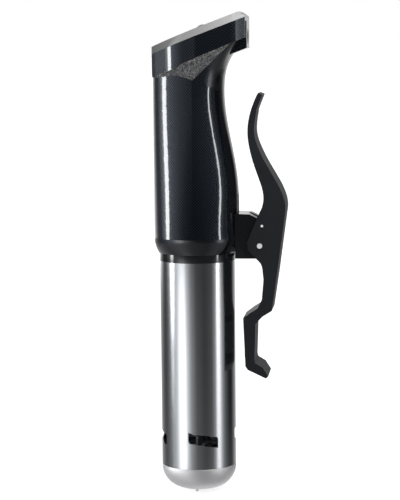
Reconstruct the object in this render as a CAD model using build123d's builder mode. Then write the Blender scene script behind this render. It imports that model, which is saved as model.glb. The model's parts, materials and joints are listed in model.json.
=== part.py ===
from build123d import *
from math import atan, cos, degrees, radians, sin, sqrt
import os

# Sous vide circulator, millimetres. +Z is up along the sleeve, +X is the rear, where the clamp is, and the
# origin is on the sleeve's axis at the flat underside of the base cap.

# ---- heights of the stack, from the base cap up ----
CAP_H = 19.5  # base cap, from its flat to the seam with the sleeve
SLEEVE_H = 165.4  # visible steel sleeve
COLLAR_H = 6.4  # ring between the sleeve and the handle
HEAD_H = 176.4  # panel's top on the axis, above the handle's lower end

# ---- sleeve and base cap ----
SLEEVE_R = 30.0
SLEEVE_WALL = 0.8
CAP_WALL = 1.2
COLLAR_LIP = 0.1  # how far the collar stands proud of the sleeve
CAP_SEAM_CUT = 0.35  # bevel that marks the seam with the sleeve
CAP_SPIGOT_H = 6.0
FOOT_R = 1.3
FOOT_H = 2.7
FOOT_RING_R = 9.0
SLOT_COUNT = 4
SLOT_W = 23.9
SLOT_H = 8.6
SLOT_DROP = 4.1  # how much lower a slot's right end lies, seen from outside
SLOT_MID_Z = 43.0
SLOT_TURN = 12.7  # first slot, turned from -Y towards +X
INLET_COUNT = 8
INLET_IN_R = 2.5
INLET_OUT_R = 7.6
INLET_W = 2.2
CAP_RIM_H = 1.2  # upright rim of the cap
FOOT_TURN = -98.0
SLOT_SMALL_R = 2.0
SLOT_LARGE_R = 3.8

# ---- handle ----
WALL = 2.5
SEAM = 0.15  # gap at the seams between covers
HANDLE_LOW_R = 30.8
HANDLE_R = 34.3
HANDLE_CURVE_H = 12.5  # the rounded foot of the handle
FRONT_REACH = 34.5
ROUND_PULL = 0.5523  # Bezier handle of a quarter circle
NOSE_PULL, BROW_PULL, CHEEK_PULL, BACK_PULL = 0.60, 0.40, 0.45, 0.68
FLARE_CHEEK_PULL, FLARE_BACK_PULL = 0.90, 0.86  # where the handle's back opens out under the head
CREASE_ANGLE = 14.0
FLARE_ANGLE = 3.0
# height above the handle's lower end or, where negative, below the panel's top on the axis; half width at
# the crease; reach of the back; share of the creased form; share of the flare
HANDLE_LEVELS = (
    (33.0, 33.8, 33.7, 0.2, 0.0),
    (57.0, 32.8, 32.9, 0.5, 0.0),
    (83.0, 31.4, 28.9, 0.8, 0.0),
    (108.0, 30.4, 24.3, 1.0, 0.0),
    (-47.0, 30.0, 22.7, 1.0, 0.05),
    (-33.0, 30.0, 24.1, 1.0, 0.25),
    (-23.0, 30.0, 27.6, 1.0, 0.5),
    (-15.0, 30.0, 32.6, 1.0, 0.75),
    (-8.0, 30.0, 38.0, 1.0, 0.92),
    (-3.0, 30.0, 41.0, 1.0, 1.0),
)

# ---- head ----
HEAD_SLOPE = 0.38  # rise of the panel per millimetre towards the rear
RIM_H = 6.0  # upright height of the steel rim
SLAB_H = 16.0  # upright height of the head's side below the rim
KEEL_H = 24.3  # upright height of the rear block below the rim
KEEL_W = 26.0
INLET_UP = 9.0  # cord inlet above the rear block's underside
GLAND_R = 6.0
GLAND_BORE_R = 3.6
GLAND_L = 6.0
HEAD_SIDE = ((-34.0, 8.5), (-30.4, 14.0), (-15.6, 28.7), (3.0, 34.0), (32.8, 28.9), (41.1, 22.2))
SHOULDER_R = 34.0
CORNER_R = 8.0
BEVEL_RUN = 4.9  # length of the bevel at the rim's rear end
COVER_DROP = 31.0  # upper end of the rear grip cover below the panel
RIM_LAND = 4.5  # width of the steel around the glass
GLASS_T = 1.6
GLASS_LEDGE = 1.5
GUSSET_DROP = 17.2  # how far the rough facets reach down the crease below the head

# ---- thumbwheel ----
WHEEL_R = 7.8
WHEEL_W = 5.0
WHEEL_PROUD = 2.3
WHEEL_X = 5.0
AXLE_R = 1.5
RUN_GAP = 0.05  # radial clearance of whatever turns or slides in a bore

CRADLE_T = 2.0
# ---- electronics ----
BOARD_T = 1.6
BOARD_X = -21.5
BOARD_W = 30.0
BOARD_H = 96.0
BOARD_UP = 23.5  # lower end of the power board above the collar
CONTROL_DEPTH = 10.5  # control board's face below the panel
CONTROL_INSET = 6.5
DISPLAY_X = -14.0
DISPLAY_L = 19.0
DISPLAY_W = 28.0
DISPLAY_T = 4.0
KEY_X = 27.0
KEY_Y = (-9.0, 9.0)
KEY_R = 3.2

# ---- drive ----
SHAFT_R = 2.5
MOTOR_R = 18.0
MOTOR_H = 48.0
MOUNT_LIFT = 11.5  # motor plate above the collar
MOUNT_T = 4.0
FAN_R = 16.5
FAN_H = 8.0
IMPELLER_R = 15.5
IMPELLER_H = 9.0
IMPELLER_Z = 24.5
MOTOR_BOSS_R = 8.0
MOUNT_R = 31.0
MOUNT_LEG_R = 2.6
HUB_R = 5.5
BLADE_T = 1.2
SCREW_R = 1.5
SCREW_HEAD_R = 2.6
SCREW_HEAD_H = 2.0
SCREW_GRIP = 7.0
MOTOR_SCREW_RING_R = 13.0

# ---- heater and probes ----
COIL_R = 20.5
COIL_TUBE_R = 3.0
COIL_PITCH = 9.0
COIL_TURNS = 3.5
COIL_Z = 41.0
COIL_RISER_R = 12.0
FLANGE_DROP = 10.0  # flange's upper face below the sleeve's end
FLANGE_T = 6.0
FLANGE_EDGE_R = 23.0
FLANGE_SCREW_RING_R = 25.4
COLLAR_BORE_R = 22.5
BUSH_R = 6.0
BUSH_H = 6.0
SEAL_H = 2.0
PROBE_R = 2.0
PROBE_LOW_Z = 60.0
LEVEL_ROD_R = 1.25
LEVEL_ROD_Z = (88.0, 120.0)
ELBOW_SHARE = 1.12  # brazed elbows are this much fatter than the tube

# ---- clamp ----
RAIL_H = 48.8
RAIL_HALF_W = 20.0
RAIL_DEPTH = 12.3  # inner face of the rail behind the handle's round foot
TEE_NECK_W = 10.0
TEE_HEAD_W = 17.0
TEE_DEPTH = 7.9  # inner face of the tee behind the handle's round foot
TEE_T = 3.0
SLIDE_GAP = 0.2
BRACKET_W = 29.0
BRACKET_LOW = -4.0  # bracket's underside, from the handle's lower end
BRACKET_H = 36.0
BRACKET_GAP = 0.35
RIB_X = 17.0  # ribs inside the handle that hold the rail
RIB_Y = (10.5, 33.0)
RIB_UP = 18.0
SPRING_SLOT_W = 10.0
PIVOT_OUT = 17.0  # pivot behind the handle's round foot
PIVOT_UP = 6.6  # pivot above the handle's lower end
PIN_R = 2.2
LEVER_W = 39.0
LEVER_CHEEK = 4.6
STOP_PIN_R = 1.0
STOP_PIN_AT = (2.0, 15.9)  # from the pivot
PAD_T = 1.5
PAD_HALF_W = 15.0
PAD_H = 26.0
PAD_DROP = 63.1  # upper end of the pad below the pivot
POT_WALL_GAP = 7.8  # between the sleeve and the jaw at rest
JAW_HALF_W = 18.0
TIP_HALF_W = 15.5
SPRING_SLOT_IN = 9.3  # the spring's gap begins this far in front of the pivot
SPRING_R = 4.0
SPRING_WIRE_R = 0.6
SPRING_PITCH = 1.5
SPRING_TURNS = 5
RAIL_SCREW_Y = 12.9
RAIL_SCREW_UP = (22.5, 30.0)
RAIL_SCREW_SINK = 4.5

# ---- worked out ----
SLEEVE_Z = CAP_H
COLLAR_Z = SLEEVE_Z + SLEEVE_H
HANDLE_Z = COLLAR_Z + COLLAR_H
TOP_Z = HANDLE_Z + HEAD_H
SLOPE_DEG = degrees(atan(HEAD_SLOPE))
RIM_LOW_Z = TOP_Z - RIM_H
SLAB_LOW_Z = RIM_LOW_Z - SLAB_H
KEEL_LOW_Z = RIM_LOW_Z - KEEL_H
FLANGE_TOP_Z = COLLAR_Z - FLANGE_DROP
MOUNT_Z = HANDLE_Z + MOUNT_LIFT
MOTOR_Z = MOUNT_Z + MOUNT_T
FAN_Z = MOTOR_Z + MOTOR_H + 5.0
PIVOT_Z = HANDLE_Z + PIVOT_UP
COVER_LOW_Z = HANDLE_Z + RAIL_H + SEAM
COVER_TOP_Z = TOP_Z - COVER_DROP
BORE_R = SLEEVE_R - SLEEVE_WALL
COIL_END = (COIL_R * cos(radians(360 * COIL_TURNS)), COIL_R * sin(radians(360 * COIL_TURNS)))
PIVOT_X = HANDLE_R + PIVOT_OUT
RAIL_DEPTH_X = HANDLE_R - RAIL_DEPTH
TEE_HEAD_X = (HANDLE_R - TEE_DEPTH, HANDLE_R - TEE_DEPTH + TEE_T)
SPRING_SLOT_X = PIVOT_X - SPRING_SLOT_IN
BOARD_Z = HANDLE_Z + BOARD_UP
JAW_X = SLEEVE_R + POT_WALL_GAP
PAD_Z = (PIVOT_Z - PAD_DROP - PAD_H, PIVOT_Z - PAD_DROP)
FAR = 200.0  # longer than anything it has to cut through


def slanted(z_on_axis):
    """A plane parallel to the panel that crosses the sleeve's axis at a height."""
    return Plane(
        origin=(0, 0, z_on_axis),
        x_dir=(cos(radians(SLOPE_DEG)), 0, sin(radians(SLOPE_DEG))),
        z_dir=(-sin(radians(SLOPE_DEG)), 0, cos(radians(SLOPE_DEG))),
    )


def mix(a, b, share):
    """A value part of the way from a to b."""
    return a + (b - a) * share


def handle_face(height, front, side, back, creased, flared, inset):
    """One level of the handle, four curves that meet at a crease on each side."""
    front, side, back = front - inset, side - inset, back - inset
    nose = side * mix(ROUND_PULL, NOSE_PULL, creased)
    brow = front * mix(ROUND_PULL, BROW_PULL, creased)
    cheek = back * mix(mix(ROUND_PULL, CHEEK_PULL, creased), FLARE_CHEEK_PULL, flared)
    rear = side * mix(mix(ROUND_PULL, BACK_PULL, creased), FLARE_BACK_PULL, flared)
    lean = radians(CREASE_ANGLE * creased)
    rear_lean = radians(mix(CREASE_ANGLE * creased, FLARE_ANGLE, flared))
    with BuildSketch(Plane.XY.offset(HANDLE_Z + height)) as level:
        with BuildLine():
            for s in (-1, 1):
                Bezier(
                    (-front, 0),
                    (-front, s * nose),
                    (-brow * cos(lean), s * (side - brow * sin(lean))),
                    (0, s * side),
                )
                Bezier(
                    (0, s * side),
                    (cheek * cos(rear_lean), s * (side - cheek * sin(rear_lean))),
                    (back, s * rear),
                    (back, 0),
                )
        make_face()
    return level.sketch


def foot_radius(height):
    """Radius of the handle's rounded foot, an arc that ends upright."""
    step = HANDLE_R - HANDLE_LOW_R
    arc = (step**2 + HANDLE_CURVE_H**2) / (2 * step)
    return HANDLE_R - arc + sqrt(arc**2 - (HANDLE_CURVE_H - height) ** 2)


def foot_faces(inset):
    """Levels of the rounded foot of the handle."""
    heights = [HANDLE_CURVE_H * share for share in (0.0, 0.25, 0.5, 0.75, 1.0)]
    radii = [foot_radius(h) for h in heights]
    return [handle_face(h, r, r, r, 0, 0, inset) for h, r in zip(heights, radii)]


def handle_faces(inset):
    """Levels of the handle above its foot."""
    levels = [handle_face(HANDLE_CURVE_H, HANDLE_R, HANDLE_R, HANDLE_R, 0, 0, inset)]
    for height, side, back, creased, flared in HANDLE_LEVELS:
        if height < 0:
            height += HEAD_H
        levels.append(handle_face(height, FRONT_REACH, side, back, creased, flared, inset))
    return levels


def head_outline(inset, z):
    """The head's plan, a long octagon with a crease on each side, drawn in by an inset."""
    near = [(x, -y) for x, y in HEAD_SIDE]
    far = [(x, y) for x, y in reversed(HEAD_SIDE)]
    with BuildSketch(Plane.XY.offset(z)) as plan:
        with BuildLine():
            Polyline(*near, *far, close=True)
        make_face()
        shoulders = plan.vertices().filter_by(lambda v: abs(v.X - HEAD_SIDE[2][0]) < 0.1)
        fillet(shoulders, SHOULDER_R)
        corners = plan.vertices().filter_by(lambda v: abs(v.X - HEAD_SIDE[4][0]) < 0.1)
        fillet(corners, CORNER_R)
        if inset:
            offset(amount=-inset, kind=Kind.INTERSECTION)
    return plan.sketch


def tilted_prism(inset, low_z, high_z):
    """A block with the head's plan between two planes parallel to the panel."""
    with BuildPart() as block:
        extrude(head_outline(inset, low_z - 40), amount=high_z - low_z + 80)
        split(bisect_by=slanted(low_z), keep=Keep.TOP)
        split(bisect_by=slanted(high_z), keep=Keep.BOTTOM)
    return block.part


def bar(x, y, z, mode=Mode.ADD):
    """A box from its low and high limits along each axis."""
    with Locations(((x[0] + x[1]) / 2, (y[0] + y[1]) / 2, (z[0] + z[1]) / 2)):
        return Box(x[1] - x[0], y[1] - y[0], z[1] - z[0], mode=mode)


def ring_points(radius, count, first=0.0):
    """Points spread evenly on a circle."""
    turns = [radians(first + 360 * i / count) for i in range(count)]
    return [(radius * cos(a), radius * sin(a)) for a in turns]


def finish(piece, label):
    """Name a piece and write it."""
    piece.part.label = label
    export_step(piece.part, f"parts/{label}.step")


os.makedirs("parts", exist_ok=True)

# ======== forms that several pieces share ========
with BuildPart() as handle_form:
    loft(foot_faces(0))
    loft(handle_faces(0))
    split(bisect_by=slanted(SLAB_LOW_Z + 4), keep=Keep.BOTTOM)

with BuildPart() as handle_core:
    loft(foot_faces(WALL))
    loft(handle_faces(WALL))
    split(bisect_by=slanted(SLAB_LOW_Z + 4), keep=Keep.BOTTOM)

# corners of the rough facets under the head: the shoulder, front and rear tips, crease and front foot
SLAB_EDGE = [(x, y, SLAB_LOW_Z + HEAD_SLOPE * x) for x, y in HEAD_SIDE]
SHOULDER = SLAB_EDGE[2]
TIP_FRONT = (-25.0, 19.6, SLAB_LOW_Z - HEAD_SLOPE * 25.0)
TIP_REAR = (30.5, 29.1, SLAB_LOW_Z + HEAD_SLOPE * 30.5)
CREASE_HIGH = SLAB_EDGE[3]
CREASE_LOW = (0.5, 30.1, SLAB_LOW_Z - GUSSET_DROP)
FRONT_FOOT = (-24.3, 18.7, SLAB_LOW_Z - GUSSET_DROP + 1.7)


def facet_plane(corners, side):
    """The plane through three corners on one side of the handle, facing away from the axis."""
    a, b, c = (Vector(x, side * y, z) for x, y, z in corners)
    normal = (b - a).cross(c - a)
    if normal.Y * side < 0:
        normal = -normal
    return Plane(origin=a, z_dir=normal)


def under_plane(a, b):
    """The plane along Y through two points, facing up."""
    run = Vector(b[0] - a[0], 0, b[2] - a[2])
    return Plane(origin=a, x_dir=(0, 1, 0), z_dir=Vector(-run.Z, 0, run.X) * (1 if run.X > 0 else -1))


FACETS = (
    (SHOULDER, CREASE_HIGH, CREASE_LOW),
    (SHOULDER, CREASE_LOW, FRONT_FOOT),
    (SHOULDER, FRONT_FOOT, TIP_FRONT),
    (TIP_REAR, CREASE_HIGH, CREASE_LOW),
)
with BuildPart() as gusset_form:
    extrude(head_outline(0.2, SLAB_LOW_Z - 45), amount=80)
    split(bisect_by=slanted(SLAB_LOW_Z + 1), keep=Keep.BOTTOM)
    for foot in (FRONT_FOOT, TIP_REAR):
        split(bisect_by=under_plane(CREASE_LOW, foot), keep=Keep.TOP)
    for s in (-1, 1):
        for corners in FACETS:
            split(bisect_by=facet_plane(corners, s), keep=Keep.BOTTOM)

KEEL_BACK_X = HEAD_SIDE[-1][0] + 0.6
with BuildPart() as keel_form:
    bar((12, KEEL_BACK_X), (-KEEL_W / 2, KEEL_W / 2), (KEEL_LOW_Z - 30, RIM_LOW_Z + 30))
    split(bisect_by=slanted(KEEL_LOW_Z), keep=Keep.TOP)
    split(bisect_by=slanted(RIM_LOW_Z - 3), keep=Keep.BOTTOM)

with BuildPart() as rear_window:
    with BuildSketch(Plane.YZ) as window_face:
        with BuildLine():
            Polyline(
                (-RAIL_HALF_W, HANDLE_Z - 5),
                (RAIL_HALF_W, HANDLE_Z - 5),
                (RAIL_HALF_W, COVER_LOW_Z),
                (KEEL_W / 2 + 1, COVER_TOP_Z),
                (-KEEL_W / 2 - 1, COVER_TOP_Z),
                (-RAIL_HALF_W, COVER_LOW_Z),
                close=True,
            )
        make_face()
    extrude(amount=60)

# ======== casings ========
with BuildPart() as housing_shell:
    add(handle_form.part)
    add(gusset_form.part)
    add(tilted_prism(0, SLAB_LOW_Z, RIM_LOW_Z))
    add(keel_form.part)
    add(handle_core.part, mode=Mode.SUBTRACT)
    add(tilted_prism(WALL, SLAB_LOW_Z + WALL, RIM_LOW_Z + 5), mode=Mode.SUBTRACT)
    add(rear_window.part, mode=Mode.SUBTRACT)
    # ribs that the clamp rail is screwed to
    with BuildPart(mode=Mode.PRIVATE) as rail_ribs:
        for s in (-1, 1):
            y_range = sorted((s * RIB_Y[0], s * RIB_Y[1]))
            bar((RIB_X, RAIL_DEPTH_X - SEAM), y_range, (HANDLE_Z + RIB_UP, HANDLE_Z + RAIL_H))
        add(handle_core.part, mode=Mode.INTERSECT)
    add(rail_ribs.part)
    # the cord's inlet through the rear block
    with BuildSketch(Plane.YZ.offset(25)):
        with Locations((0, KEEL_LOW_Z + HEAD_SLOPE * KEEL_BACK_X + INLET_UP)):
            Circle(GLAND_R)
    extrude(amount=40, mode=Mode.SUBTRACT)
finish(housing_shell, "housing_shell")


with BuildPart() as rear_grip_cover:
    add(handle_form.part)
    add(handle_core.part, mode=Mode.SUBTRACT)
    with BuildSketch(Plane.YZ) as cover_face:
        with BuildLine():
            Polyline(
                (-RAIL_HALF_W + SEAM, COVER_LOW_Z),
                (RAIL_HALF_W - SEAM, COVER_LOW_Z),
                (KEEL_W / 2 + 1 - SEAM, COVER_TOP_Z - SEAM),
                (-KEEL_W / 2 - 1 + SEAM, COVER_TOP_Z - SEAM),
                close=True,
            )
        make_face()
    extrude(amount=60, mode=Mode.INTERSECT)
finish(rear_grip_cover, "rear_grip_cover")

flange_screw_points = ring_points(FLANGE_SCREW_RING_R, 3, 60)
with BuildPart() as collar_ring:
    with BuildSketch(Plane.XY.offset(COLLAR_Z)):
        Circle(SLEEVE_R + COLLAR_LIP)
        Circle(COLLAR_BORE_R, mode=Mode.SUBTRACT)
    extrude(amount=COLLAR_H)
    with Locations(*[(x, y, COLLAR_Z) for x, y in flange_screw_points]):
        Cylinder(SCREW_R, 3 * COLLAR_H, mode=Mode.SUBTRACT)
finish(collar_ring, "collar_ring")

# ======== immersion end ========
with BuildPart() as steel_sleeve:
    with BuildSketch(Plane.XY.offset(SLEEVE_Z)):
        Circle(SLEEVE_R)
        Circle(BORE_R, mode=Mode.SUBTRACT)
    extrude(amount=SLEEVE_H)
    for i in range(SLOT_COUNT):
        angle = radians(SLOT_TURN - 90 + 360 * i / SLOT_COUNT)
        right = (-sin(angle), cos(angle), 0)
        facing = Plane(origin=(0, 0, SLOT_MID_Z), x_dir=right, z_dir=(cos(angle), sin(angle), 0))
        with BuildSketch(facing.offset(SLEEVE_R / 2)) as slot:
            with BuildLine():
                Polyline(
                    (-SLOT_W / 2, (SLOT_DROP + SLOT_H) / 2),
                    (SLOT_W / 2, (SLOT_H - SLOT_DROP) / 2),
                    (SLOT_W / 2, -(SLOT_DROP + SLOT_H) / 2),
                    (-SLOT_W / 2, (SLOT_DROP - SLOT_H) / 2),
                    close=True,
                )
            make_face()
            by_height = slot.vertices().sort_by(Axis.Z)
            fillet([by_height[0], by_height[3]], SLOT_SMALL_R)
            level = (SLOT_H - SLOT_DROP) / 2
            inside = slot.vertices().filter_by(lambda v: abs(abs(v.Z - SLOT_MID_Z) - level) < 0.01)
            fillet(inside, SLOT_LARGE_R)
        extrude(amount=SLEEVE_R, mode=Mode.SUBTRACT)
finish(steel_sleeve, "steel_sleeve")

dome_r = CAP_H - CAP_RIM_H
with BuildPart() as base_cap:
    with BuildSketch(Plane.XZ):
        with BuildLine():
            Line((0, 0), (SLEEVE_R - dome_r, 0))
            RadiusArc((SLEEVE_R - dome_r, 0), (SLEEVE_R, dome_r), -dome_r)
            Polyline(
                (SLEEVE_R, dome_r),
                (SLEEVE_R, CAP_H - CAP_SEAM_CUT),
                (SLEEVE_R - CAP_SEAM_CUT, CAP_H),
                (BORE_R - RUN_GAP, CAP_H),
                (BORE_R - RUN_GAP, CAP_H + CAP_SPIGOT_H),
                (BORE_R - CAP_WALL, CAP_H + CAP_SPIGOT_H),
                (BORE_R - CAP_WALL, dome_r),
            )
            RadiusArc((BORE_R - CAP_WALL, dome_r), (SLEEVE_R - dome_r, CAP_WALL), dome_r - CAP_WALL)
            Polyline((SLEEVE_R - dome_r, CAP_WALL), (0, CAP_WALL), (0, 0))
        make_face()
    revolve(axis=Axis.Z)
    with BuildSketch(Plane.XY):
        with PolarLocations((INLET_IN_R + INLET_OUT_R) / 2, INLET_COUNT, start_angle=22.5):
            SlotOverall(INLET_OUT_R - INLET_IN_R, INLET_W)
    extrude(amount=2 * CAP_WALL, mode=Mode.SUBTRACT)
    with Locations(*[(x, y, -FOOT_H / 2 + CAP_WALL / 4) for x, y in ring_points(FOOT_RING_R, 3, FOOT_TURN)]):
        Cylinder(FOOT_R, FOOT_H + CAP_WALL / 2)
    fillet(base_cap.edges().filter_by(GeomType.CIRCLE).group_by(Axis.Z)[0], 0.4)
finish(base_cap, "base_cap")

with BuildPart() as cap_seal:
    with BuildSketch(Plane.XY.offset(CAP_H + CAP_SPIGOT_H)):
        Circle(BORE_R - RUN_GAP)
        Circle(BORE_R - CAP_WALL, mode=Mode.SUBTRACT)
    extrude(amount=SEAL_H)
finish(cap_seal, "cap_seal")

riser_points = ((COIL_RISER_R, 0), COIL_END)
probe_point = (-12.0, 5.0)
level_points = ((-4.0, -13.0), (4.0, -13.5))
with BuildPart() as heater_flange:
    with BuildSketch(Plane.XY.offset(FLANGE_TOP_Z - FLANGE_T)):
        Circle(BORE_R)
    extrude(amount=FLANGE_T)
    # the raised edge that the collar's screws pull up against it
    with BuildSketch(Plane.XY.offset(FLANGE_TOP_Z)):
        Circle(BORE_R)
        Circle(FLANGE_EDGE_R, mode=Mode.SUBTRACT)
    extrude(amount=FLANGE_DROP)
    with BuildSketch(Plane.XY.offset(FLANGE_TOP_Z - FLANGE_T - BUSH_H)):
        Circle(BUSH_R + 2)
    extrude(amount=BUSH_H)
    with Locations((0, 0, FLANGE_TOP_Z)):
        Cylinder(BUSH_R, 4 * FLANGE_T + 4 * BUSH_H, mode=Mode.SUBTRACT)
    with Locations(*[(x, y, FLANGE_TOP_Z) for x, y in riser_points]):
        Cylinder(COIL_TUBE_R, 4 * FLANGE_T, mode=Mode.SUBTRACT)
    with Locations((*probe_point, FLANGE_TOP_Z)):
        Cylinder(PROBE_R, 4 * FLANGE_T, mode=Mode.SUBTRACT)
    with Locations(*[(x, y, FLANGE_TOP_Z) for x, y in level_points]):
        Cylinder(LEVEL_ROD_R, 4 * FLANGE_T, mode=Mode.SUBTRACT)
    with Locations(*[(x, y, COLLAR_Z) for x, y in flange_screw_points]):
        Cylinder(SCREW_R, 2 * SCREW_GRIP, mode=Mode.SUBTRACT)
finish(heater_flange, "heater_flange")

with BuildPart() as shaft_seal:
    with BuildSketch(Plane.XY.offset(FLANGE_TOP_Z - FLANGE_T)):
        Circle(BUSH_R)
        Circle(SHAFT_R + RUN_GAP, mode=Mode.SUBTRACT)
    extrude(amount=FLANGE_T)
finish(shaft_seal, "shaft_seal")

with BuildPart() as shaft_bush:
    with BuildSketch(Plane.XY.offset(FLANGE_TOP_Z - FLANGE_T - BUSH_H)):
        Circle(BUSH_R)
        Circle(SHAFT_R + RUN_GAP, mode=Mode.SUBTRACT)
    extrude(amount=BUSH_H)
finish(shaft_bush, "shaft_bush")

RISER_TOP_Z = FLANGE_TOP_Z + 4.0
coil_top_z = COIL_Z + COIL_PITCH * COIL_TURNS
with BuildPart() as heater_coil:
    with BuildLine() as coil_path:
        Helix(COIL_PITCH, COIL_PITCH * COIL_TURNS, COIL_R, center=(0, 0, COIL_Z))
    with BuildSketch(Plane(origin=coil_path.line @ 0, z_dir=coil_path.line % 0)):
        Circle(COIL_TUBE_R)
    sweep(is_frenet=True)
    # brazed elbows, and the two straight legs up to the flange
    with Locations((COIL_R, 0, COIL_Z), (COIL_RISER_R, 0, COIL_Z), (*COIL_END, coil_top_z)):
        Sphere(COIL_TUBE_R * ELBOW_SHARE)
    with Locations(((COIL_R + COIL_RISER_R) / 2, 0, COIL_Z)):
        Cylinder(COIL_TUBE_R, COIL_R - COIL_RISER_R, rotation=(0, 90, 0))
    for (x, y), low_z in zip(riser_points, (COIL_Z, coil_top_z)):
        with Locations((x, y, (low_z + RISER_TOP_Z) / 2)):
            Cylinder(COIL_TUBE_R, RISER_TOP_Z - low_z)
finish(heater_coil, "heater_coil")

with BuildPart() as heater_terminals:
    for x, y in riser_points:
        bar((x - 0.4, x + 0.4), (y - 2, y + 2), (RISER_TOP_Z, RISER_TOP_Z + 8))
finish(heater_terminals, "heater_terminals")

with BuildPart() as temperature_probe:
    with Locations((*probe_point, (PROBE_LOW_Z + RISER_TOP_Z) / 2)):
        Cylinder(PROBE_R, RISER_TOP_Z - PROBE_LOW_Z)
    fillet(temperature_probe.edges().sort_by(Axis.Z)[0], PROBE_R * 0.9)
finish(temperature_probe, "temperature_probe")

with BuildPart() as level_rods:
    for (x, y), low_z in zip(level_points, LEVEL_ROD_Z):
        with Locations((x, y, (low_z + RISER_TOP_Z) / 2)):
            Cylinder(LEVEL_ROD_R, RISER_TOP_Z - low_z)
finish(level_rods, "level_rods")

with BuildPart() as flange_screws:
    for x, y in flange_screw_points:
        with Locations((x, y, HANDLE_Z + (SCREW_HEAD_H - COLLAR_H - SCREW_GRIP) / 2)):
            Cylinder(SCREW_R, COLLAR_H + SCREW_GRIP + SCREW_HEAD_H)
        with Locations((x, y, HANDLE_Z + SCREW_HEAD_H / 2)):
            Cylinder(SCREW_HEAD_R, SCREW_HEAD_H)
finish(flange_screws, "flange_screws")

# ======== drive ========
mount_leg_points = [p for first in (95, 145) for p in ring_points(COLLAR_BORE_R + 2.3, 3, first) if p[0] < 0]
motor_screw_points = ring_points(MOTOR_SCREW_RING_R, 4, 45)
with BuildPart() as motor_mount:
    with BuildSketch(Plane.XY.offset(MOUNT_Z)):
        Circle(MOUNT_R)
        Circle(MOTOR_BOSS_R, mode=Mode.SUBTRACT)
    extrude(amount=MOUNT_T)
    with Locations(*[(x, y, HANDLE_Z + MOUNT_LIFT / 2) for x, y in mount_leg_points]):
        Cylinder(MOUNT_LEG_R, MOUNT_LIFT)
    bar((RAIL_DEPTH_X - 1, FAR), (-FAR, FAR), (0, 2 * HANDLE_Z), mode=Mode.SUBTRACT)
    with Locations(*[(x, y, MOUNT_Z) for x, y in motor_screw_points]):
        Cylinder(SCREW_R, 4 * MOUNT_T, mode=Mode.SUBTRACT)
finish(motor_mount, "motor_mount")

with BuildPart() as motor:
    with Locations((0, 0, MOTOR_Z + MOTOR_H / 2)):
        Cylinder(MOTOR_R, MOTOR_H)
    fillet(motor.edges().filter_by(GeomType.CIRCLE), 1.5)
    with Locations((0, 0, MOTOR_Z - MOUNT_T / 4)):
        Cylinder(MOTOR_BOSS_R - RUN_GAP, MOUNT_T / 2)
    with Locations((0, 0, MOTOR_Z + MOTOR_H + 1)):
        Cylinder(MOTOR_BOSS_R, 2)
    with Locations((0, 0, MOTOR_Z)):
        Cylinder(SHAFT_R + RUN_GAP, 4 * MOTOR_H, mode=Mode.SUBTRACT)
    with Locations(*[(x, y, MOTOR_Z) for x, y in motor_screw_points]):
        Cylinder(SCREW_R, 2 * SCREW_GRIP, mode=Mode.SUBTRACT)
finish(motor, "motor")

with BuildPart() as motor_screws:
    for x, y in motor_screw_points:
        with Locations((x, y, MOUNT_Z + (MOUNT_T + SCREW_GRIP) / 2)):
            Cylinder(SCREW_R, MOUNT_T + SCREW_GRIP)
        with Locations((x, y, MOUNT_Z - SCREW_HEAD_H / 2)):
            Cylinder(SCREW_HEAD_R, SCREW_HEAD_H)
finish(motor_screws, "motor_screws")

with BuildPart() as drive_shaft:
    shaft_low_z = IMPELLER_Z - 1
    shaft_high_z = FAN_Z + FAN_H + 1
    with Locations((0, 0, (shaft_low_z + shaft_high_z) / 2)):
        Cylinder(SHAFT_R, shaft_high_z - shaft_low_z)
    chamfer(drive_shaft.edges().filter_by(GeomType.CIRCLE), 0.4)
finish(drive_shaft, "drive_shaft")


def bladed_rotor(low_z, height, hub_r, tip_r, blades, pitch):
    """A hub on the drive shaft with flat blades set at a pitch."""
    with BuildPart() as rotor:
        for i in range(blades):
            turn = Location((0, 0, low_z + height / 2), (0, 0, 360 * i / blades))
            with Locations(turn * Location(((hub_r + tip_r) / 2, 0, 0), (pitch, 0, 0))):
                Box(tip_r - hub_r + 2, BLADE_T, height * 0.9)
        with BuildSketch(Plane.XY.offset(low_z)):
            Circle(tip_r)
        extrude(amount=height, mode=Mode.INTERSECT)
        with Locations((0, 0, low_z + height / 2)):
            Cylinder(hub_r, height)
            Cylinder(SHAFT_R, 2 * height, mode=Mode.SUBTRACT)
    return rotor


cooling_fan = bladed_rotor(FAN_Z, FAN_H, HUB_R, FAN_R, 7, 35)
finish(cooling_fan, "cooling_fan")
impeller = bladed_rotor(IMPELLER_Z, IMPELLER_H, HUB_R, IMPELLER_R, 6, 28)
finish(impeller, "impeller")

# ======== electronics ========
with BuildPart() as power_board:
    bar((BOARD_X - BOARD_T, BOARD_X), (-BOARD_W / 2, BOARD_W / 2), (BOARD_Z, BOARD_Z + BOARD_H))
finish(power_board, "power_board")

with BuildPart() as power_parts:
    relay_z = BOARD_Z + BOARD_H - 24
    bar((BOARD_X, BOARD_X + 14), (-14, -1), (relay_z, relay_z + 17))
    bar((BOARD_X, BOARD_X + 12), (2, 14), (relay_z - 2, relay_z + 14))
    bar((BOARD_X, BOARD_X + 2.6), (-12, 12), (BOARD_Z + 6, BOARD_Z + 14))
    with Locations(*[(BOARD_X + 1.4, y, BOARD_Z + 24) for y in (-8, 0, 8)]):
        Cylinder(2.4, 2.8, rotation=(0, 90, 0))
    with Locations((BOARD_X + 9, 0, relay_z - 9)):
        Cylinder(5, 18, rotation=(0, 90, 0))
finish(power_parts, "power_parts")

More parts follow.
